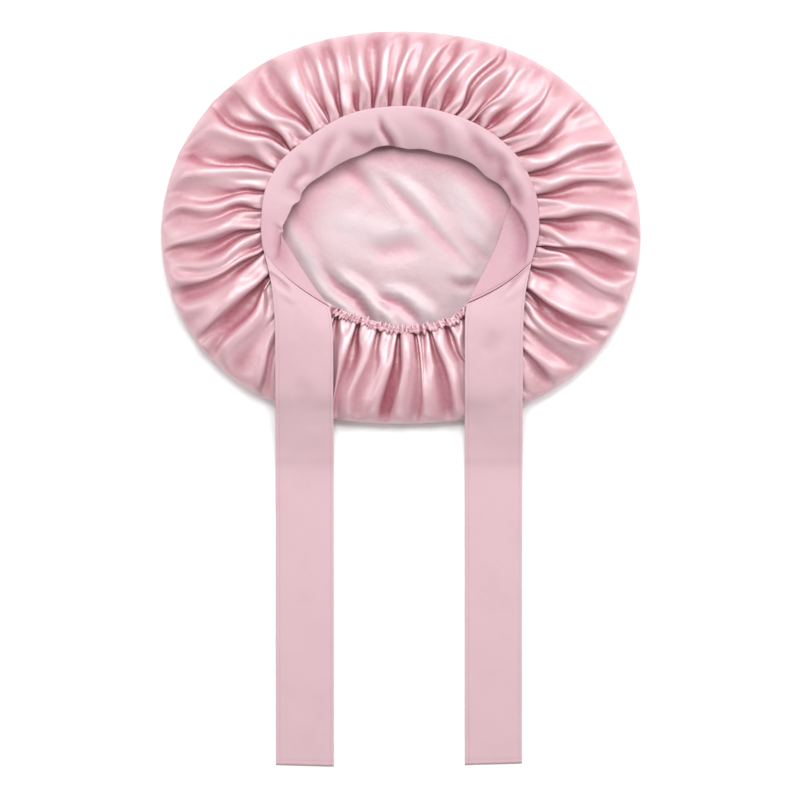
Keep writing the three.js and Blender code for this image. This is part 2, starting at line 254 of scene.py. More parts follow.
# thin crests that start or end part-way: degrees and reach at both ends, millimetres
thinCrests = [
    {"at": 29.2, "reach": 0.36, "toAt": 26, "toReach": 0.92, "wide": 2.6, "tall": 1.6},
    {"at": 132.6, "reach": 0.46, "toAt": 130.5, "toReach": 0.95, "wide": 3.6, "tall": 1.9},
    {"at": 147.4, "reach": 0.46, "toAt": 143.5, "toReach": 0.96, "wide": 3.2, "tall": 1.8},
    {"at": 158, "reach": 0.42, "toAt": 157, "toReach": 0.95, "wide": 2.6, "tall": 1.7},
    {"at": 170, "reach": 0.06, "toAt": 170, "toReach": 0.4, "wide": 2.2, "tall": 2.2},
    {"at": 41.4, "reach": 0.2, "toAt": 43.5, "toReach": 0.6, "wide": 2.4, "tall": 1.4},
    {"at": 76.5, "reach": 0.5, "toAt": 74.5, "toReach": 0.96, "wide": 3, "tall": 1.4},
    {"at": 203, "reach": 0.12, "toAt": 205.6, "toReach": 0.42, "wide": 2, "tall": 1.6},
    {"at": 337, "reach": 0.5, "toAt": 340, "toReach": 0.9, "wide": 3, "tall": 1.2},
]

# chance crests: how many, where they start between the seam and the outline, how long and wide,
# how far they turn in degrees, and how tall. The fine ones come once the cloth has settled.
smallCrests = {"count": 140, "first": 0.02, "last": 0.6, "long": 0.55, "end": 0.97, "wide": 2.8,
               "turn": 4, "tall": 1.7}
outerCrests = {"count": 80, "first": 0.4, "last": 0.8, "long": 1, "end": 1.2, "wide": 4.6,
               "turn": 4, "tall": 2.6}
fineCrests = {"count": 420, "first": 0, "last": 0.85, "long": 0.34, "end": 1, "wide": 1.5,
              "turn": 2.5, "tall": 0.7}

# soft creases of the crown's floor, seen through the opening: route and width in
# millimetres, and height, negative for a dent
floorCreases = [
    {"route": [(-22, 44), (-6, 28), (16, 5), (34, -13), (57, -36)], "wide": 4.4, "tall": -1.7},
    {"route": [(-6, 42), (7, 29), (34, 7), (57, -14), (70, -30)], "wide": 5, "tall": 1.3},
    {"route": [(12, 34), (24, 20), (48, -9), (66, -26), (76, -40)], "wide": 5, "tall": -1.8},
    {"route": [(30, 40), (48, 22), (66, 2), (78, -14)], "wide": 7, "tall": 1},
    {"route": [(-58, 46), (-42, 43), (-30, 34), (-20, 18)], "wide": 6.5, "tall": -1.9},
    {"route": [(-58, -30), (-49, -44), (-35, -53), (-26, -66), (-20, -80)], "wide": 3.6, "tall": -2.9},
    {"route": [(-68, -30), (-58, -46), (-42, -60), (-34, -76)], "wide": 4, "tall": 1.9},
    {"route": [(-48, -30), (-37, -41), (-20, -54), (-10, -68), (-4, -80)], "wide": 4.2, "tall": 2.2},
    {"route": [(-28, -46), (-15, -54), (-2, -57), (10, -68), (16, -80)], "wide": 3.8, "tall": -2.4},
    {"route": [(-8, -44), (8, -52), (22, -64), (30, -76)], "wide": 4.6, "tall": 1.4},
    {"route": [(-26, -16), (-12, -18), (4, -16), (16, -22)], "wide": 8, "tall": -1.5},
    {"route": [(-50, 6), (-30, 2), (-12, -4), (0, -2)], "wide": 9, "tall": 1.3},
    {"route": [(34, -40), (46, -44), (60, -42)], "wide": 4, "tall": -1.5},
    {"route": [(-90, 10), (-80, -6), (-70, -24), (-60, -44)], "wide": 5, "tall": 1.3},
]


def outlineRadius(angle):
    size = crown["radius"] + crown["stretch"] * np.cos(2 * angle)
    size = size - crown["corners"] * (np.sin(angle) + np.cos(4 * angle))
    return size - crown["lopsided"] * np.sin(3 * angle)


def rimRadius(angle):
    at, out = zip(*[(at + turn, out) for turn in (-360, 0, 360) for at, out in rimSections])
    return through(at, out, np.degrees(angle) % 360)


def pressedByTies(x, y):
    # 1 where a tie lies on the crown, and 0 away from both
    left = ease(x, -106, -97) * ease(-x, 47, 53)
    right = ease(x, 44, 50) * ease(-x, -101, -94)
    return np.clip(left + right, 0, 1) * ease(-y, 12, 34)


def foldField(foldAt, reach, sections, rng):
    # angle and height of the folds at each lane and each reach over the ring
    table = columnsOf(folds)
    table["meet"] = np.maximum(table["meet"], 0.1)
    count = len(folds)
    own = {name: rng.uniform(-1, 1, count) for name in ("wander", "start", "swell", "beat", "lean")}
    i = np.floor(foldAt).astype(int) % count
    across = foldAt - np.floor(foldAt)
    inner = np.clip(reach, 0, 1)

    def crest(k):
        turn = 360 * (k // count)
        k = k % count
        bend = 4 * table["mid"][k] - 3 * table["rim"][k] - table["hem"][k]
        curve = 2 * table["rim"][k] + 2 * table["hem"][k] - 4 * table["mid"][k]
        sway = np.sin(math.pi * (inner * (2.2 + 0.6 * own["beat"][k]) + own["start"][k])) * own["wander"][k]
        sway = sway * crown["wander"] * ease(inner, 0.04, 0.3) * (1 - ease(inner, 0.8, 1))
        return table["rim"][k] + turn + bend * inner + curve * inner * inner + sway

    low, high = crest(i), crest(i + 1)
    wave = 2 * math.pi * across
    angle = low + (high - low) * (across + sections["pinch"] * np.sin(wave) / (2 * math.pi))
    near = (i + (across > 0.5)) % count
    beat = np.sin(2 * math.pi * (inner * (1.2 + 0.5 * own["beat"][near]) + own["start"][near]))
    tall = table["tall"][near] * (1 + crown["swell"] * own["swell"][near] * beat)
    sharp = 1.1 - 0.4 * np.clip(sections["pinch"], -0.5, 1)
    ridge = (0.5 + 0.5 * np.cos(wave)) ** sharp
    spread = ((high - low) / crown["usualGap"]) ** 0.5  # wide folds stand higher
    height = spread * sections["folds"] * (tall * ridge - crown["sink"])
    for k, centre in ((i, low), (i + 1, high)):
        row = k % count
        closing = np.clip(1 - (inner / table["meet"][row]) ** 2, 0, 1)
        half = np.maximum(table["fork"][row] * closing ** 0.6, 0.05)
        depth = table["deep"][row] * closing ** 0.5 * (table["fork"][row] > 0)
        dent = depth * crown["forkDepth"] * bump(angle - centre, half * crown["forkWidth"])
        height = height - dent * (0.45 + 0.55 * ease(reach, 0, 0.1))  # less deep at the very seam
    lean = own["lean"][near] * crown["lean"] * (high - low) * ridge * sections["folds"]
    return np.radians(angle + lean), height * crown["foldHeight"], np.radians(low + (high - low) * across)


def strayCrests(kind, rng):
    # crests and dents at chance places, more of them by the seam, each a row as in thinCrests
    rows = []
    for _ in range(kind["count"]):
        at = rng.uniform(0, 360)
        reach = kind["first"] + (kind["last"] - kind["first"]) * rng.uniform(0, 1) ** 1.6
        toReach = min(reach + rng.uniform(0.5, 1) * kind["long"], kind["end"])
        toAt = at + rng.uniform(-1, 1) * kind["turn"]
        wide = kind["wide"] * rng.uniform(0.6, 1.2)
        tall = kind["tall"] * rng.uniform(-0.8, 1)
        rows.append({"at": at, "reach": reach, "toAt": toAt, "toReach": toReach, "wide": wide, "tall": tall})
    return rows


def addCrests(height, angle, out, reach, rows):
    for row in rows:
        share = np.clip((reach - row["reach"]) / (row["toReach"] - row["reach"]), 0, 1)
        centre = np.radians(row["at"] + (row["toAt"] - row["at"]) * share)
        off = (angle - centre + math.pi) % (2 * math.pi) - math.pi
        fade = ease(reach, row["reach"] - 0.03, row["reach"] + 0.12)
        fade = fade * (1 - ease(reach, row["toReach"] - 0.25, row["toReach"] + 0.03))
        height = height + row["tall"] * bump(off * out, row["wide"]) * fade
    return height


def crownShape():
    # the charted ring, and the smooth one that its cloth would make without folds
    rng = np.random.default_rng(crown["seed"])
    lanes = len(folds) * crown["lanesPerFold"]
    rows = crown["ringRows"]
    first = rows // 2
    close = np.linspace(0, crown["closeRows"], first, endpoint=False)
    along = np.concatenate((close, np.linspace(crown["closeRows"], 1, rows - first)))
    sections = smoothRows(ringSections, along[:, None] * np.ones((1, lanes)))
    foldAt = np.arange(lanes)[None, :] / crown["lanesPerFold"] * np.ones((rows, 1))
    reach = sections["reach"]
    angle, height, evenAngle = foldField(foldAt, reach, sections, rng)

    def ringPoints(angle, height):
        rim = rimRadius(angle) - crown["tuck"]
        out = rim + reach * (outlineRadius(angle) - rim)
        z = sections["high"] + crown["browRise"] * np.sin(angle) * sections["rise"] + height
        return np.stack((out * np.cos(angle), out * np.sin(angle), z), -1)

    smooth = ringPoints(evenAngle, 0)
    out = np.hypot(smooth[..., 0], smooth[..., 1])
    phase = rng.uniform(0, 2 * math.pi, 3)
    fine = np.sin(angle * 173 + phase[0]) + 0.6 * np.sin(angle * 117 + phase[1])
    height = height + crown["fineGathers"] * fine * np.exp(-reach / crown["gatherReach"])
    chance = strayCrests(smallCrests, rng) + strayCrests(outerCrests, rng)
    height = addCrests(height, angle, out, reach, thinCrests + chance)
    pressed = pressedByTies(smooth[..., 0], smooth[..., 1])
    height = height * (1 - crown["flatUnderTies"] * pressed)
    height = height - crown["downUnderTies"] * pressed * sections["folds"]
    return ringPoints(angle, height), smooth, evenAngle, sections, pressed


# how the gathered cloth settles: its pull round the ring, out from the seam and on the slant,
# its stiffness, and how much it keeps to the charted folds
settle = {"rounds": 300, "carry": 0.85, "around": 0.9, "outward": 0.5, "slant": 0.06, "stiff": 0.045,
          "keep": 0.006, "apart": 0.1, "spread": 0.18, "deepest": 6.5, "highest": 40,
          "underTies": 22.6, "besideTies": 8}


def pull(a, b, length, strength):
    # moves two sets of points towards the length that the cloth between them has
    gap = b - a
    size = np.sqrt((gap * gap).sum(-1)) + 1e-9
    move = gap * (0.5 * strength * (size - length) / size)[..., None]
    a += move
    b -= move


def settleRing(ring, smooth, sections, pressed):
    rng = np.random.default_rng(crown["seed"] + 1)
    rows, lanes = ring.shape[:2]
    hem = int(np.argmax(sections["reach"][:, 0]))
    free = (1 - ease(np.arange(rows), hem - 3, hem + 1))[:, None, None] * np.ones((1, lanes, 1))
    free[0], free[1] = 0, 0.4
    beat = rng.uniform(-1, 1, (3, 2))
    lane = 2 * math.pi * np.arange(lanes) / lanes
    uneven = sum(a * np.sin(turns * lane + 6 * b) for (a, b), turns in zip(beat, (9, 17, 29)))
    full = 1 + (sections["full"] - 1) * (1 + settle["spread"] * uneven)
    around = np.linalg.norm(np.roll(smooth, -1, axis=1) - smooth, axis=-1) * full
    outward = np.linalg.norm(np.diff(smooth, axis=0), axis=-1)
    slant = np.sqrt(around[:-1] ** 2 + outward ** 2)
    turn = np.arctan2(smooth[..., 1], smooth[..., 0])
    sideways = np.stack((-np.sin(turn), np.cos(turn), 0 * turn), -1)
    lowest = smooth[..., 2] - settle["deepest"] * sections["folds"]
    besideTies = settle["underTies"] + settle["besideTies"] * (1 - pressed)
    highest = np.where(pressed > 0.3, besideTies, settle["highest"])
    now, last = ring.copy(), ring.copy()

    def pairs(values, first):
        # every second lane and its neighbour. The last lane is sewn to the first.
        rolled = np.roll(values, -first, axis=1)
        return rolled[:, 0::2].copy(), rolled[:, 1::2].copy()

    for _ in range(settle["rounds"]):
        speed = (now - last) * settle["carry"]
        last = now.copy()
        now += speed + (ring - now) * settle["keep"]
        curl = np.roll(now, 1, axis=1) + np.roll(now, -1, axis=1) - 2 * now
        now -= settle["stiff"] * (np.roll(curl, 1, axis=1) + np.roll(curl, -1, axis=1) - 2 * curl)
        curl = now[2:] + now[:-2] - 2 * now[1:-1]
        now[2:-2] -= settle["stiff"] * (curl[2:] + curl[:-2] - 2 * curl[1:-1])
        for first in (0, 1):
            a, b = pairs(now, first)
            pull(a, b, pairs(around, first)[0], settle["around"])
            side = pairs(sideways, first)[0]
            push = side * (np.maximum(settle["apart"] - ((b - a) * side).sum(-1), 0) / 2)[..., None]
            joined = np.empty_like(now)
            joined[:, 0::2], joined[:, 1::2] = a - push, b + push
            now = np.roll(joined, first, axis=1)
        for first in (0, 1):
            lastRow = first + 2 * ((rows - first) // 2)
            upper, lower = slice(first, lastRow, 2), slice(first + 1, lastRow, 2)
            pull(now[upper], now[lower], outward[upper], settle["outward"])
            for shift in (1, -1):
                other = np.roll(now[lower], shift, axis=1)
                pull(now[upper], other, slant[upper], settle["slant"])
                now[lower] = np.roll(other, -shift, axis=1)
        now[..., 2] = np.clip(now[..., 2], lowest, highest)
        now = ring + (now - ring) * free
    return now


def fineWrinkles(ring, reach):
    rng = np.random.default_rng(crown["seed"] + 2)
    angle, out = np.arctan2(ring[..., 1], ring[..., 0]), np.hypot(ring[..., 0], ring[..., 1])
    return addCrests(0 * out, angle, out, reach, strayCrests(fineCrests, rng)) * ease(1 - reach, 0, 0.1)


def paintedFoldShade(ring, reach):
    # painted shade, for the colour: how far each point lies below the folds about it, darkest
    # by the seam. Steep sides and the outer edge count as deep too, as painted shade.
    window = crown["lanesPerFold"]
    z = ring[..., 2]
    around = sum(np.roll(z, k, axis=1) for k in range(-window, window + 1)) / (2 * window + 1)
    sunk = (around - z) / crown["foldHeight"]
    across = np.roll(ring, -1, axis=1) - np.roll(ring, 1, axis=1)
    steep = np.abs(across[..., 2]) / (np.hypot(across[..., 0], across[..., 1]) + 0.1)
    shadeBySeam = crown["seamShade"] * np.exp(-reach / crown["seamReach"])
    depth = crown["baseShade"] + sunk * (crown["valleyShade"] + shadeBySeam)
    depth = np.clip(depth, 0, 1) * ease(1 - reach, 0.01, 0.12)
    depth = depth + crown["sideShade"] * np.clip(steep, 0, crown["steepest"])
    return np.clip(depth + crown["edgeShade"] * ease(reach, 0.6, 1), 0, 1)


def floorShape(angle):
    # the lower layer, from under the outline in to the middle, with every second lane
    rows, edge = crown["floorRows"], ringSections[-1]
    angle = angle[::2]
    rim = rimRadius(angle) - crown["tuck"]
    outer = rim + edge["reach"] * (outlineRadius(angle) - rim)
    share = 1 - (np.arange(1, rows) / rows)[:, None]
    out = outer[None, :] * share
    x, y = out * np.cos(angle)[None, :], out * np.sin(angle)[None, :]
    folded = creases(x, y, floorCreases)
    z = edge["high"] + crown["floorRise"] * ease(1 - share, 0, 0.35) + folded
    wave = np.sin(x / 17 + y / 9) * np.sin(y / 21 - x / 30 + 1)
    z = z + crown["floorWave"] * wave * ease(1 - share, 0, 0.3)
    # painted shade on the floor: darker in its dents, lighter on its ridges, and a painted shadow under the
    # band's free edge
    shadowUnderBand = ease(out - rimRadius(angle), -54, -26) * ease(np.sin(angle), -0.5, 0.4)
    depth = crown["floorShade"] - crown["floorDentShade"] * folded + crown["bandShade"] * shadowUnderBand
    return np.stack((x, y, np.maximum(z, crown["floorLowest"])), -1), np.clip(depth, 0, 1)


def buildCrown():
    ring, smooth, angle, sections, pressed = crownShape()
    ring = settleRing(ring, smooth, sections, pressed)
    ring[..., 2] += fineWrinkles(ring, sections["reach"]) * (1 - (1 - crown["fineUnderTies"]) * pressed)
    depth = paintedFoldShade(ring, sections["reach"])
    floor, floorPaintedShade = floorShape(angle[-1])
    rows, lanes = ring.shape[:2]
    points = np.vstack((ring.reshape(-1, 3), floor.reshape(-1, 3), [0, 0, floor[-1, :, 2].mean()]))
    start, half, centre = rows * lanes, lanes // 2, len(points) - 1
    faces = gridFaces(rows, lanes, closed=True) + gridFaces(floor.shape[0], half, closed=True, start=start)
    edge, last = start - lanes, centre - half
    for j in range(half):
        k = (j + 1) % half
        faces.append((edge + 2 * j, edge + 2 * j + 1, edge + 2 * k, start + k, start + j))
        faces.append((last + j, last + k, centre))
    points[:, 2] = np.maximum(points[:, 2], crown["lowest"])
    depth = np.concatenate((depth.ravel(), floorPaintedShade.ravel(), [0]))
    inside = (np.arange(len(points)) >= start) * 1.0
    return meshFrom("gathered_crown", points * mm, faces, marks={"depth": depth, "inside": inside})


crownPiece = buildCrown()
print("crown made", len(crownPiece.data.polygons))


# strips of folded satin: the brow band and the ties
def stripGrid(rows, lanes, even):
    # shares along and across a strip. The less even, the closer the rows lie at its ends, and
    # the lanes always lie closer at its sides.
    along = np.linspace(0, 1, rows)[:, None] * np.ones((1, lanes))
    uneven = (1 - even) / 2
    along = even * along + uneven - uneven * np.cos(math.pi * along)
    lane = np.linspace(-1, 1, lanes)
    across = (0.5 + 0.5 * np.sin(lane * math.pi / 2))[None, :] * np.ones((rows, 1))
    return along, across


def closedStrip(name, middle, thick, roundness, depth):
    # middle is a grid of points, lengthwise then crosswise. The two faces meet round its edge.
    lengthwise = np.gradient(middle, axis=0)
    crosswise = np.gradient(middle, axis=1)
    normal = np.cross(lengthwise, crosswise)
    normal /= np.linalg.norm(normal, axis=-1, keepdims=True)
    rows, lanes = middle.shape[:2]

    def edgeDistance(axis):
        step = np.linalg.norm(np.diff(middle, axis=axis), axis=-1)
        run = np.cumsum(step, axis=axis)
        zero = np.zeros_like(np.take(run, [0], axis=axis))
        run = np.concatenate((zero, run), axis=axis)
        return np.minimum(run, np.take(run, [-1], axis=axis) - run)

    inset = np.minimum(edgeDistance(0), edgeDistance(1))
    swell = np.sqrt(np.clip(1 - (1 - np.clip(inset / roundness, 0, 1)) ** 2, 0, 1))
    half = (thick / 2 * swell)[..., None]
    top = (middle + normal * half).reshape(-1, 3)
    under = (middle - normal * half).reshape(-1, 3)
    index = np.arange(rows * lanes).reshape(rows, lanes)
    below = index + rows * lanes
    below[0], below[-1], below[:, 0], below[:, -1] = index[0], index[-1], index[:, 0], index[:, -1]

    def quads(grid, flip):
        corners = (grid[:-1, :-1], grid[1:, :-1], grid[1:, 1:], grid[:-1, 1:])
        return np.stack(corners[::-1] if flip else corners, -1).reshape(-1, 4)

    faces = np.vstack((quads(index, False), quads(below, True)))
    points = np.vstack((top, under))
    used, packed = np.unique(faces, return_inverse=True)
    depth = np.concatenate((depth.ravel(), depth.ravel()))[used]
    return meshFrom(name, points[used] * mm, packed.reshape(-1, 4).tolist(), marks={"depth": depth})


def bowed(fromX, fromY, toX, toY, across, bow):
    # points across a strip, pushed out from the opening in the middle of each line
    x, y = fromX + (toX - fromX) * across, fromY + (toY - fromY) * across
    awayX, awayY = fromX + toX, fromY + toY
    size = np.hypot(awayX, awayY)
    push = bow * np.sin(math.pi * across)
    return x + awayX / size * push, y + awayY / size * push


# brow band
band = {
    "thick": 1.6, "roundness": 0.9, "height": 22.6, "rise": 2.5, "trim": 0.0006, "length": 470,
    "lengthRows": 640, "lanes": 46, "even": 0.4, "wave": 0.8, "waveOut": 0.64, "rollWidth": 0.07,
    "softening": 8, "stitchIn": 2.3, "stitchWide": 0.5, "stitchDeep": 0.22,
    # painted shade: in the dents, a painted shadow on the facing by its rolled edge, and darker towards both
    # ends; the stitch line is darker too
    "dentShade": 0.36, "facingShade": 0.75, "fullFacing": 4, "endShade": 0.42, "stitchShade": 0.4,
}

# the band in section: sewn edge, free edge, how far the free edge dips, how far the section
# bows, and the facing beyond the rolled edge: how far across the roll lies, how deep it drops
bandSections = [
    {"x": -102, "y": -19.9, "freeX": -53.3, "freeY": -59.6, "dip": 0, "bow": 3.6, "roll": 0.1, "drop": 0},
    {"x": -103.6, "y": -14, "freeX": -66, "freeY": -43, "dip": 0.8, "bow": 1.8, "roll": 0.25, "drop": 2},
    {"x": -104.6, "y": -5, "freeX": -80, "freeY": -21.5, "dip": 2.4, "bow": 0.6, "roll": 0.5, "drop": 3.4},
    {"x": -104.8, "y": 3, "freeX": -88.8, "freeY": -6, "dip": 4, "roll": 0.85, "drop": 3},
    {"x": -104.2, "y": 12, "freeX": -87.4, "freeY": 2, "dip": 5, "roll": 1.2},
    {"x": -103, "y": 22.5, "freeX": -82, "freeY": 14, "dip": 6, "roll": 1.3},
    {"x": -98.3, "y": 36, "freeX": -75, "freeY": 23.5, "dip": 8, "roll": 1.3},
    {"x": -83.3, "y": 56.3, "freeX": -63.8, "freeY": 36.8, "dip": 10, "roll": 1.3},
    {"x": -45.8, "y": 81.8, "freeX": -30, "freeY": 55.5, "dip": 11.5, "roll": 1.3},
    {"x": -12, "y": 90, "freeX": -8.3, "freeY": 60.8, "dip": 12, "roll": 1.3},
    {"x": 21.8, "y": 88.8, "freeX": 18, "freeY": 58.2, "dip": 12, "roll": 1.3},
    {"x": 59.3, "y": 75.8, "freeX": 44.6, "freeY": 51.6, "dip": 11.5, "roll": 1.3},
    {"x": 86.7, "y": 53.6, "freeX": 68.6, "freeY": 36.4, "dip": 10, "roll": 1.3},
    {"x": 99.8, "y": 28.5, "freeX": 82.1, "freeY": 20, "dip": 8, "roll": 1.02, "drop": 2},
    {"x": 103, "y": 9.8, "freeX": 77.4, "freeY": 6, "dip": 5, "roll": 0.46, "drop": 6.5},
    {"x": 103, "y": -5, "freeX": 70, "freeY": -16, "dip": 2.4, "bow": 1, "roll": 0.22, "drop": 6},
    {"x": 97.8, "y": -25.5, "freeX": 49, "freeY": -57.4, "bow": 3.6, "roll": 0.08},
]

# dents and soft ridges of the band
bandCreases = [
    {"route": [(-16, 84), (-14, 73), (-8, 65), (-5, 58), (-1, 49)], "wide": 2.8, "tall": -4.4},
    {"route": [(-20, 78), (-16, 67), (-12, 58), (-9, 50)], "wide": 4, "tall": 2.2},
    {"route": [(-40, 72), (-33, 65), (-26, 63), (-16, 70)], "wide": 5, "tall": -2},
    {"route": [(-80, 56), (-72, 49), (-72, 42), (-79, 36), (-82, 30), (-72, 22)], "wide": 3.8, "tall": -2.2},
    {"route": [(-48, 72), (-54, 61), (-59, 50), (-68, 32)], "wide": 4.6, "tall": -2.1},
    {"route": [(-40, 66), (-48, 56), (-56, 42), (-60, 32)], "wide": 4.6, "tall": 1.2},
    {"route": [(8, 86), (21, 79), (29, 72), (31, 64), (35, 50)], "wide": 6, "tall": -1.7},
    {"route": [(38, 80), (42, 66), (44, 54)], "wide": 5.5, "tall": 1.1},
    {"route": [(52, 70), (60, 59), (69, 46)], "wide": 4.6, "tall": -1.9},
    {"route": [(66, 62), (76, 47), (76, 38), (70, 28)], "wide": 4.2, "tall": -2},
    {"route": [(76, 43), (85, 28), (90, 14)], "wide": 3.8, "tall": -1.8},
    {"route": [(-93, 4), (-92, -7), (-94, -22)], "wide": 2.4, "tall": -1.2},
]


def buildBand():
    share, across = stripGrid(band["lengthRows"], band["lanes"], band["even"])
    share = band["trim"] + (1 - 2 * band["trim"]) * share
    row = smoothRows(bandSections, share)
    x, y = bowed(row["x"], row["y"], row["freeX"], row["freeY"], across, row["bow"])
    sewnZ = band["height"] + band["rise"] * np.sin(np.arctan2(row["y"], row["x"]))
    freeZ = band["height"] + band["rise"] * np.sin(np.arctan2(row["freeY"], row["freeX"])) - row["dip"]
    dropped = row["drop"] * ease(across, row["roll"], row["roll"] + band["rollWidth"])
    z = sewnZ + (freeZ - sewnZ) * across ** 2 - dropped
    dented = creases(x, y, bandCreases) * ease(across, 0.02, 0.3) * ease(share, 0, 0.03)
    dented = soften(dented, band["softening"])
    z = z + dented
    wave = np.sin(share * 83) + 0.7 * np.sin(share * 47 + 1) + 0.4 * np.sin(share * 131 + 2)
    wave = wave * ease(share, 0.1, 0.26) * (1 - ease(share, 0.76, 0.88))  # none on the facing
    z = z + band["wave"] * wave * across ** 3
    fromSeam = np.minimum(share, 1 - share) * band["length"]
    stitched = bump(fromSeam - band["stitchIn"], band["stitchWide"])
    z = z - band["stitchDeep"] * stitched
    push = band["waveOut"] * wave * across ** 4 / np.hypot(x, y)
    x, y = x + x * push, y + y * push
    # painted shadow on the facing just beyond its rolled edge, painted shade towards both ends, darker dents
    # and lighter ridges; the stitch line is darker too
    beyond = across - row["roll"]
    shadowOnFacing = np.clip(row["drop"] / band["fullFacing"], 0, 1)
    shadowOnFacing = shadowOnFacing * ease(beyond, 0, band["rollWidth"]) * (1 - ease(beyond, 0.05, 0.5))
    shadeTowardsEnds = band["endShade"] * ease(np.abs(share - 0.5), 0.12, 0.36)
    depth = band["facingShade"] * shadowOnFacing - band["dentShade"] * dented + shadeTowardsEnds
    depth = np.clip(depth + band["stitchShade"] * stitched, 0, 1)
    return closedStrip("brow_band_satin", np.stack((x, y, z), -1), band["thick"], band["roundness"], depth)


bandPiece = buildBand()
print("band made")


# ties
tie = {
    "thick": 1.2, "roundness": 0.8, "lengthRows": 260, "lanes": 60, "even": 0.2, "trim": 0.0007,
    "softening": 4, "seamIn": 2.6, "hemIn": 2.99, "seamWide": 0.5, "seamDeep": 0.24,
    # painted shade: darker dents, and the upper end over the crown darker; the seam lines are darker too
    "dentShade": 0.4, "seamShade": 0.5, "topShade": 0.35,
}

# both ties from seam to free end: height of the middle of the cloth, and how far it bows
tieHeights = [
    (22.6, 3.6), (25.2, 2), (26.8, 0.5), (26.6, 0), (25, 0), (21.6, 0), (15.2, 0),
    (9.8, 0), (4.6, 0), (1.2, 0), (0.8, 0), (0.8, 0),
]

# outer and inner long edge of each tie, at the same places
leftTie = [
    [(-102, -19.9), (-53.3, -59.6)],
    [(-98.8, -33), (-51.6, -70)],
    [(-96.2, -48), (-50.8, -84)],
    [(-94.3, -72), (-50.6, -98)],
    [(-94.1, -100), (-50.6, -112)],
    [(-94, -122), (-50.6, -126)],
    [(-94, -138), (-50.6, -138)],
    [(-94, -152), (-50.5, -152)],
    [(-94, -170), (-50.5, -170)],
    [(-94, -196), (-50.5, -196)],
    [(-93.9, -290), (-50.4, -289)],
    [(-93.8, -402.8), (-50.3, -403.9)],
]
rightTie = [
    [(97.8, -25.5), (49, -57.4)],
    [(95, -38), (47.8, -68)],
    [(92.8, -52), (47.6, -82)],
    [(91.4, -74), (47.6, -97)],
    [(91.2, -100), (47.6, -112)],
    [(91.1, -122), (47.6, -126)],
    [(91.1, -138), (47.6, -138)],
    [(91.1, -152), (47.7, -152)],
    [(91, -170), (47.7, -170)],
    [(91, -196), (47.8, -196)],
    [(90.9, -290), (47.9, -290)],
    [(90.8, -401.6), (48, -402.8)],
]

# creases of the ties below their seams
leftTieCreases = [
    {"route": [(-104, -31), (-94, -37.4), (-86, -44), (-80.5, -51)], "wide": 1.7, "tall": -1.5},
    {"route": [(-97, -42), (-87, -50), (-76, -60)], "wide": 3.2, "tall": 0.9},
    {"route": [(-89, -50), (-83.4, -57), (-75, -57)], "wide": 3.6, "tall": -0.9},
    {"route": [(-80, -112), (-72, -124), (-74, -136)], "wide": 7, "tall": -0.7},
    {"route": [(-60, -150), (-84, -168)], "wide": 6, "tall": 0.5},
]
rightTieCreases = [
    {"route": [(97, -30), (90.2, -33), (84.2, -40), (79, -47)], "wide": 1.7, "tall": -1.4},
    {"route": [(92, -40), (84, -47), (74, -56)], "wide": 3.2, "tall": 0.9},
    {"route": [(74, -78), (68, -86), (62, -96)], "wide": 6, "tall": -0.8},
    {"route": [(86, -120), (72, -134)], "wide": 6, "tall": -0.6},
]


def buildTie(name, edges, dents, phase):
    share, across = stripGrid(tie["lengthRows"], tie["lanes"], tie["even"])
    share = tie["trim"] + (1 - tie["trim"]) * share
    names = ("outerX", "outerY", "innerX", "innerY", "high", "bow")
    sections = [dict(zip(names, (*outer, *inner, *high))) for (outer, inner), high in zip(edges, tieHeights)]
    row = smoothRows(sections, share)
    x, y = bowed(row["outerX"], row["outerY"], row["innerX"], row["innerY"], across, row["bow"])
    z = np.maximum(row["high"], tie["thick"] / 2)
    lift = 0.35 * np.sin(y / 13 + phase + x / 40) * np.sin(x / 15 + y / 37 + phase)
    lift = lift + 0.3 * np.sin(y / 27 + phase) + 0.4
    z = z + lift * ease(-y, 20, 60) * (1 - 0.55 * ease(-y, 150, 180))
    dented = soften(creases(x, y, dents) * ease(share, 0, 0.02), tie["softening"])
    z = z + dented
    width = np.hypot(row["innerX"] - row["outerX"], row["innerY"] - row["outerY"])
    fromSide = np.minimum(across, 1 - across) * width
    fromEnd = y - row["outerY"][-1] + (row["outerY"][-1] - row["innerY"][-1]) * across
    sides = bump(fromSide - tie["seamIn"], tie["seamWide"])
    sewn = np.maximum(sides, bump(fromEnd - tie["hemIn"], tie["seamWide"]))
    z = np.maximum(z - tie["seamDeep"] * sewn, tie["thick"] / 2)
    # painted shade: the dents darker and their ridges lighter, the upper end over the crown darker and
    # fading out further down; the seam lines are darker too
    shadeOnRise = tie["topShade"] * (1 - ease(-y, 80, 150))
    depth = np.clip(tie["seamShade"] * sewn - tie["dentShade"] * dented + shadeOnRise, 0, 1)
    return closedStrip(name, np.stack((x, y, z), -1), tie["thick"], tie["roundness"], depth)


leftTiePiece = buildTie("left_tie_satin", leftTie, leftTieCreases, 0.4)
rightTiePiece = buildTie("right_tie_satin", rightTie, rightTieCreases, 2.1)
print("ties made")


# nape casing: a flat tube of satin, crinkled by its elastic, with a row of stitches along it
casing = {
    "from": 231, "to": 306.5, "high": 4.2, "wide": 5.8, "height": 23.3, "rise": 2.5, "length": 105,
    "lengthRows": 840, "round": 30, "pitch": 3.9, "uneven": 0.6, "crinkle": 0.6, "fine": 0.5, "twist": 0.4,
    # baseShade and rippleShade are painted shade on the crinkles; stitchShade darkens the stitch line
    "stray": 1, "stitchDeep": 0.28, "baseShade": 0.3, "rippleShade": 0.6, "stitchShade": 1.1, "seed": 11,
}


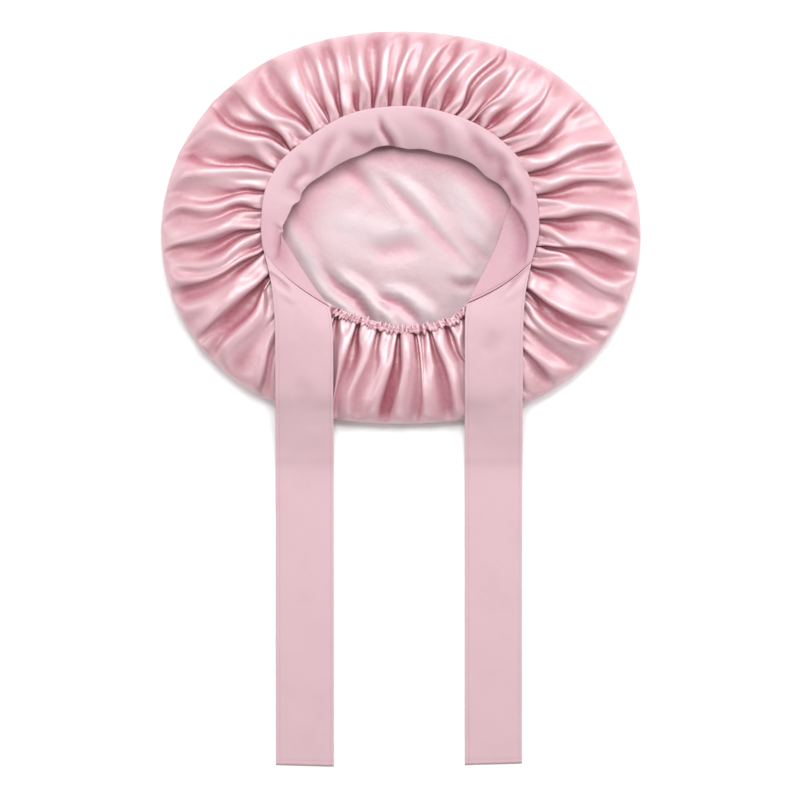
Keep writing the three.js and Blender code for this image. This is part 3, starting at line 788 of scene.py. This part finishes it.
def buildCasing():
    rng = np.random.default_rng(casing["seed"])
    rows, ring = casing["lengthRows"], casing["round"]
    share = np.linspace(0, 1, rows)[:, None]
    turn = np.linspace(0, 2 * math.pi, ring, endpoint=False)[None, :]
    angle = np.radians(casing["from"] + (casing["to"] - casing["from"]) * share)

    def drift(every):
        # chance value that changes smoothly along the casing
        knots = np.arange(0, casing["length"] + every * 2, every)
        return through(knots, rng.uniform(-1, 1, len(knots)), casing["length"] * share[:, 0])[:, None]

    def gathers():
        # one row of puckers, each of its own length and height
        pitch = casing["pitch"] * (1 + casing["uneven"] * drift(4.5))
        wave = np.sin(2 * math.pi * np.cumsum(casing["length"] / rows / pitch)[:, None])
        return wave * (0.6 + 0.5 * drift(3)) + casing["fine"] * drift(1.3)

    side = 0.5 + 0.5 * np.cos(turn)
    ripple = gathers() * side + gathers() * (1 - side)
    ripple = ripple + casing["twist"] * drift(2.4) * np.sin(turn + 3 * drift(5))
    stitched = casing["stitchDeep"] * bump(np.cos(turn) + 0.25 * drift(3), 0.3) * (np.sin(turn) > 0)
    taper = ease(share, -0.01, 0.02) * (1 - ease(share, 0.98, 1.01))
    size = (1 + casing["crinkle"] * ripple - stitched) * taper / 2
    out = rimRadius(angle) + casing["stray"] * drift(3.6) + casing["wide"] * size * np.cos(turn)
    z = casing["height"] + casing["rise"] * np.sin(angle) + casing["high"] * size * np.sin(turn)
    points = np.stack((out * np.cos(angle), out * np.sin(angle), z), -1).reshape(-1, 3)
    # painted shade in the crinkles' hollows, lighter on their bulges; the stitch line is darker too
    depth = casing["baseShade"] - casing["rippleShade"] * ripple + casing["stitchShade"] * stitched
    depth = np.clip(depth, 0, 1) * np.ones((rows, ring))
    faces = gridFaces(rows, ring, closed=True)
    faces.append(list(range(ring))[::-1])
    faces.append([(rows - 1) * ring + j for j in range(ring)])
    return meshFrom("nape_casing_satin", points * mm, [f[::-1] for f in faces], marks={"depth": depth})


casingPiece = buildCasing()
print("casing made")


# shader values that can be added and multiplied like numbers
class Wire:
    def __init__(self, tree, socket):
        self.tree, self.socket = tree, socket

    def node(self, kind, settings=None, inputs=None, output=0):
        made = self.tree.nodes.new(kind)
        for name, value in (settings or {}).items():
            setattr(made, name, value)
        for key, value in (inputs or {}).items():
            if isinstance(value, Wire):
                self.tree.links.new(value.socket, made.inputs[key])
            else:
                made.inputs[key].default_value = value
        return Wire(self.tree, made.outputs[output])

    def maths(self, operation, first, second):
        return self.node("ShaderNodeMath", {"operation": operation}, {0: first, 1: second})

    def __add__(self, other):
        return self.maths("ADD", self, other)

    __radd__ = __add__

    def __mul__(self, other):
        return self.maths("MULTIPLY", self, other)

    __rmul__ = __mul__

    def __sub__(self, other):
        return self.maths("SUBTRACT", self, other)

    def __rsub__(self, other):
        return self.maths("SUBTRACT", other, self)

    def blend(self, first, second):
        # a colour mixed by this value
        return self.node("ShaderNodeMix", {"data_type": "RGBA"}, {0: self, 6: first, 7: second}, 2)


# satins: colour of the crests and of the valleys, the valley colour being painted shade
# (and the stitch lines), the same two for the crown's inside, and gloss
satins = {
    "crown": {
        "light": (0.62, 0.383, 0.419), "deep": (0.35, 0.073, 0.112),
        "inside": (0.49, 0.378, 0.406), "insideShade": (0.50, 0.205, 0.265), "insideRougher": 0.12,
        "rough": 0.44, "roughSpread": 0.06, "stretched": 0.6, "ior": 1.72, "specular": 1,
        "sheen": 0.05, "blotches": 0.12, "weave": 0.05, "wrinkle": 0.3,
    },
    "band": {
        "light": (0.575, 0.385, 0.428), "deep": (0.40, 0.185, 0.24),
        "rough": 0.56, "roughSpread": 0.05, "stretched": 0, "ior": 1.5, "specular": 0.35,
        "sheen": 0.2, "blotches": 0.3, "weave": 0.08, "wrinkle": 0.12,
    },
    "tie": {
        "light": (0.565, 0.38, 0.42), "deep": (0.48, 0.29, 0.335),
        "rough": 0.55, "roughSpread": 0.05, "stretched": 0, "ior": 1.5, "specular": 0.45,
        "sheen": 0.2, "blotches": 0.8, "weave": 0.08, "wrinkle": 0.10,
    },
    "casing": {
        "light": (0.68, 0.44, 0.485), "deep": (0.40, 0.14, 0.195),
        "rough": 0.4, "roughSpread": 0.06, "stretched": 0, "ior": 1.6, "specular": 0.8,
        "sheen": 0.1, "blotches": 0.12, "weave": 0.08, "wrinkle": 0.15,
    },
}

# what all the satins share: how fine their patterns are, the height of thread and crumple in
# metres, the paler threads, and the sheen
cloth = {
    "clouds": 38, "slubs": 420, "warp": 900, "weft": 520, "warpShare": 0.6, "crumples": 110,
    "threadHigh": 0.0002, "crumpleHigh": 0.0015, "slubPale": 1.06, "slubFrom": 0.35, "slubMix": 0.4,
    "sheenRough": 0.4, "sheenTint": (1, 0.86, 0.89, 1),
}


def satinMaterial(name, look):
    material = bpy.data.materials.new(name)
    material.use_nodes = True
    tree = material.node_tree
    shader = tree.nodes["Principled BSDF"]
    start = Wire(tree, None)
    place = start.node("ShaderNodeTexCoord", output=3)

    def noise(scale, detail):
        return start.node("ShaderNodeTexNoise", inputs={"Vector": place, "Scale": scale, "Detail": detail})

    def threads(direction, scale):
        inputs = {"Vector": place, "Scale": scale, "Distortion": 1.5, "Detail": 1}
        return start.node("ShaderNodeTexWave", {"bands_direction": direction}, inputs, 1)

    # each piece's depth mark: painted shade, and its stitch lines, mixing in the darker colour
    depth = start.node("ShaderNodeAttribute", {"attribute_name": "depth"}, output=2)
    cloud = noise(cloth["clouds"], 3)
    slub = noise(cloth["slubs"], 2)
    colour = (depth + (cloud - 0.5) * look["blotches"]).blend((*look["light"], 1), (*look["deep"], 1))
    rough = look["rough"] + (cloud - 0.5) * look["roughSpread"] * 2
    # the crown's inside: the lining's own paler colour, partly painted sheen, with its own painted shade
    if "inside" in look:
        inside = start.node("ShaderNodeAttribute", {"attribute_name": "inside"}, output=2)
        rough = rough + inside * look["insideRougher"]
        colour = inside.blend(colour, depth.blend((*look["inside"], 1), (*look["insideShade"], 1)))
    paler = tuple(min(1, c * cloth["slubPale"]) for c in look["light"]) + (1,)
    colour = ((slub - cloth["slubFrom"]) * cloth["slubMix"]).blend(colour, paler)
    warp, weft = threads("X", cloth["warp"]), threads("Y", cloth["weft"])
    weave = warp * cloth["warpShare"] + weft * (1 - cloth["warpShare"])
    fineBump = start.node("ShaderNodeBump", inputs={"Height": weave, "Strength": look["weave"],
                                                    "Distance": cloth["threadHigh"]})
    softBump = start.node("ShaderNodeBump", inputs={"Height": noise(cloth["crumples"], 3),
                                                    "Strength": look["wrinkle"],
                                                    "Distance": cloth["crumpleHigh"], "Normal": fineBump})
    tree.links.new(colour.socket, shader.inputs["Base Color"])
    tree.links.new(rough.socket, shader.inputs["Roughness"])
    tree.links.new(softBump.socket, shader.inputs["Normal"])
    constants = {
        "Specular IOR Level": look["specular"], "IOR": look["ior"], "Anisotropic": look["stretched"],
        "Sheen Weight": look["sheen"], "Sheen Roughness": cloth["sheenRough"],
        "Sheen Tint": cloth["sheenTint"],
    }
    for socket, value in constants.items():
        shader.inputs[socket].default_value = value
    return material


def finishPiece(piece, material, slot, *nodes):
    piece.data.materials.append(material)
    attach(piece, "root")
    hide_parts(*nodes)


crownSatin = satinMaterial("gathered satin", satins["crown"])
bandSatin = satinMaterial("band satin", satins["band"])
tieSatin = satinMaterial("tie satin", satins["tie"])
casingSatin = satinMaterial("casing satin", satins["casing"])
finishPiece(crownPiece, crownSatin, "crown_satin", "crown")
finishPiece(bandPiece, bandSatin, "band_satin", "brow_band")
finishPiece(casingPiece, casingSatin, "casing_satin", "nape_casing")
finishPiece(leftTiePiece, tieSatin, "tie_satin", "left_tie")
finishPiece(rightTiePiece, tieSatin, "tie_satin", "right_tie")
print("materials made")


# floor, lights and sky
studio = {"floor": (0.95, 0.95, 0.95), "floorRough": 0.9, "floorHalf": 4, "sky": 0.3}
softboxes = [
    {"name": "overhead", "x": -0.05, "y": 0.8, "z": 1.4, "wide": 1.2, "long": 1.0, "power": 27},
    {"name": "left", "x": -1.5, "y": 0.1, "z": 0.9, "wide": 0.7, "long": 1.0, "power": 8},
    {"name": "right", "x": 1.5, "y": 0.5, "z": 1.0, "wide": 0.7, "long": 1.0, "power": 18},
    {"name": "front", "x": 0.1, "y": -1.6, "z": 0.8, "wide": 1.2, "long": 0.6, "power": 5},
]


def buildStudio():
    half = studio["floorHalf"]
    corners = [(-half, -half, 0), (half, -half, 0), (half, half, 0), (-half, half, 0)]
    floor = meshFrom("floor", corners, [(0, 1, 2, 3)], smooth=False)
    material = bpy.data.materials.new("pale floor")
    material.use_nodes = True
    shader = material.node_tree.nodes["Principled BSDF"]
    shader.inputs["Base Color"].default_value = (*studio["floor"], 1)
    shader.inputs["Roughness"].default_value = studio["floorRough"]
    floor.data.materials.append(material)
    for box in softboxes:
        light = bpy.data.lights.new(box["name"], "AREA")
        light.shape = "RECTANGLE"
        light.size, light.size_y, light.energy = box["wide"], box["long"], box["power"]
        lamp = bpy.data.objects.new(box["name"], light)
        lamp.location = (box["x"], box["y"], box["z"])
        lamp.rotation_euler = (Vector((0, 0, 0)) - lamp.location).to_track_quat("-Z", "Y").to_euler()
        lamp.visible_camera = False
        bpy.context.collection.objects.link(lamp)
    world = bpy.data.worlds.new("sky")
    bpy.context.scene.world = world
    world.use_nodes = True
    background = world.node_tree.nodes["Background"]
    background.inputs["Color"].default_value = (1, 1, 1, 1)
    background.inputs["Strength"].default_value = studio["sky"]
    bpy.context.scene.view_settings.view_transform = "Standard"


buildStudio()
print("studio made")
